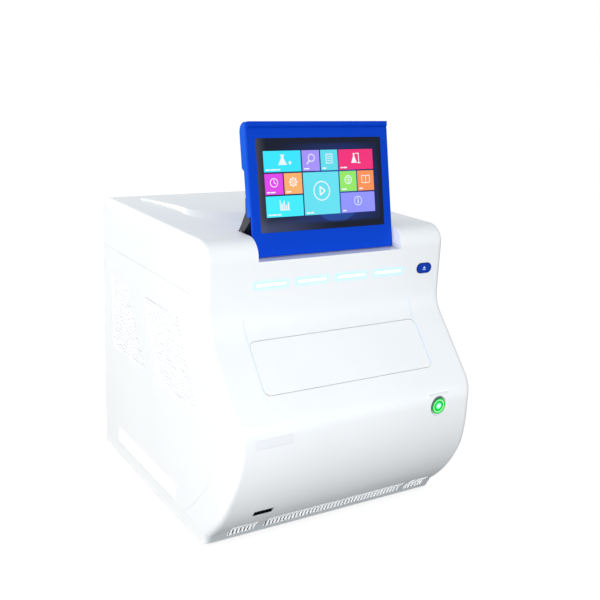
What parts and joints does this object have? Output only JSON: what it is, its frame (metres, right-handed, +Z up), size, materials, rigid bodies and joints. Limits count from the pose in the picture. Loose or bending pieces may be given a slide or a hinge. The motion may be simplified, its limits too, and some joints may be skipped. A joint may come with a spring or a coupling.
{
  "type": "benchtop sequencer",
  "caption": "White benchtop laboratory instrument with a rounded nose, a motor-driven sample drawer in its sloping face and a blue-framed tilting touch screen on top",
  "frame": {"origin": "on the table under the middle of the instrument", "axes": "+X to the right seen from the front, +Y to the back, +Z up"},
  "size_m": [0.36, 0.433, 0.5192],
  "materials": {
    "anodised_aluminium": "anodised aluminium",
    "black_metal": "black coated metal",
    "black_plastic": "black plastic",
    "blue_bezel": "saturated blue plastic",
    "blue_button": "blue pill-shaped button",
    "board_green": "green circuit board",
    "button_cap": "lit green cap",
    "chrome_ring": "chromed ring",
    "foot_rubber": "black rubber",
    "label": "bare satin plate",
    "light_bar": "clear light guide, lit cyan white",
    "screen_glass": "dark touch glass",
    "sheet_metal": "light grey powder-coated sheet",
    "socket_steel": "dark socket in a light frame",
    "steel": "bright steel",
    "tray_plastic": "dark grey plastic",
    "white_cover": "white moulded casing with a soft sheen"
  },
  "bodies": {
    "casing": {"base_tray": "white_cover", "chassis_floor": "sheet_metal", "drawer_button_switch": "black_plastic", "drawer_deck": "sheet_metal", "drawer_motor": "black_metal", "fan_frame_left": "black_plastic", "fan_frame_right": "black_plastic", "feet": "foot_rubber", "front_grille": "white_cover", "heated_cover": "black_plastic", "hinge_bracket_left": "black_metal", "hinge_bracket_right": "black_metal", "hinge_pins": "steel", "label_plate": "label", "lift_motor": "black_metal", "lift_posts": "steel", "light_board": "board_green", "light_guide": "light_bar", "main_board": "board_green", "main_cover": "white_cover", "optics_bridge": "sheet_metal", "optics_motor": "black_metal", "optics_rods": "steel", "power_inlet": "black_plastic", "power_supply": "sheet_metal", "rail_channels": "sheet_metal", "rear_panel": "sheet_metal", "rocker_switch": "black_plastic", "side_frame_left": "sheet_metal", "side_frame_right": "sheet_metal", "side_panel_left": "white_cover", "side_panel_right": "white_cover", "standby_bezel": "chrome_ring", "usb_socket": "socket_steel"},
    "screen": {"screen_bezel": "blue_bezel", "screen_rear_housing": "blue_bezel", "touch_glass": "screen_glass", "display_module": "black_plastic", "display_board": "board_green", "hinge_arm_left": "black_metal", "hinge_arm_right": "black_metal"},
    "drawer": {"drawer_front": "white_cover", "drawer_tray": "tray_plastic", "plate_nest": "anodised_aluminium", "rail_member_left": "steel", "rail_member_right": "steel"},
    "drawer_drive": {"drawer_screw": "steel"},
    "optics": {"optics_head": "black_metal"},
    "optics_drive": {"optics_screw": "steel"},
    "lift": {"lift_plate": "sheet_metal", "heat_sink": "anodised_aluminium", "thermal_block": "anodised_aluminium"},
    "lift_drive": {"lift_screw": "steel"},
    "standby_button": {"standby_cap": "button_cap"},
    "open_button": {"drawer_button": "blue_button"},
    "mains_rocker": {"power_rocker": "black_plastic"},
    "rotor_left": {"fan_rotor_left": "black_plastic"},
    "rotor_right": {"fan_rotor_right": "black_plastic"}
  },
  "joints": [
    {"name": "screen_tilt", "type": "hinge", "parent": "casing", "child": "screen", "pos_m": [0, -0.0745, 0.384], "axis": [-1, 0, 0], "range_deg": [0, 60]},
    {"name": "drawer_slide", "type": "slide", "parent": "casing", "child": "drawer", "axis": [0, -1, 0], "range_m": [0, 0.15]},
    {"name": "drawer_screw_turn", "type": "hinge", "parent": "casing", "child": "drawer_drive", "pos_m": [0.145, -0.04, 0.223], "axis": [0, 1, 0], "continuous": true},
    {"name": "optics_slide", "type": "slide", "parent": "casing", "child": "optics", "axis": [1, 0, 0], "range_m": [0, 0.09]},
    {"name": "optics_screw_turn", "type": "hinge", "parent": "casing", "child": "optics_drive", "pos_m": [0, -0.055, 0.338], "axis": [1, 0, 0], "continuous": true},
    {"name": "lift_slide", "type": "slide", "parent": "casing", "child": "lift", "axis": [0, 0, 1], "range_m": [0, 0.015]},
    {"name": "lift_screw_turn", "type": "hinge", "parent": "casing", "child": "lift_drive", "pos_m": [0, -0.008, 0.12], "axis": [0, 0, 1], "continuous": true},
    {"name": "standby_press", "type": "slide", "parent": "casing", "child": "standby_button", "axis": [0, 1, 0], "range_m": [0, 0.0015], "stiffness_N_per_m": 900, "springref_m": -0.001},
    {"name": "open_press", "type": "slide", "parent": "casing", "child": "open_button", "axis": [0, 1, 0], "range_m": [0, 0.0012], "stiffness_N_per_m": 900, "springref_m": -0.001},
    {"name": "mains_rock", "type": "hinge", "parent": "casing", "child": "mains_rocker", "pos_m": [0.06, 0.2095, 0.07], "axis": [-1, 0, 0], "range_deg": [0, 10]},
    {"name": "fan_left_spin", "type": "hinge", "parent": "casing", "child": "rotor_left", "pos_m": [-0.06, 0.195, 0.27], "axis": [0, 1, 0], "continuous": true},
    {"name": "fan_right_spin", "type": "hinge", "parent": "casing", "child": "rotor_right", "pos_m": [0.06, 0.195, 0.27], "axis": [0, 1, 0], "continuous": true}
  ],
  "couplings": [
    {"joint": "drawer_screw_turn", "follows": "drawer_slide", "rad_per_m": 628.32},
    {"joint": "optics_screw_turn", "follows": "optics_slide", "rad_per_m": 628.32},
    {"joint": "lift_screw_turn", "follows": "lift_slide", "rad_per_m": 628.32}
  ]
}
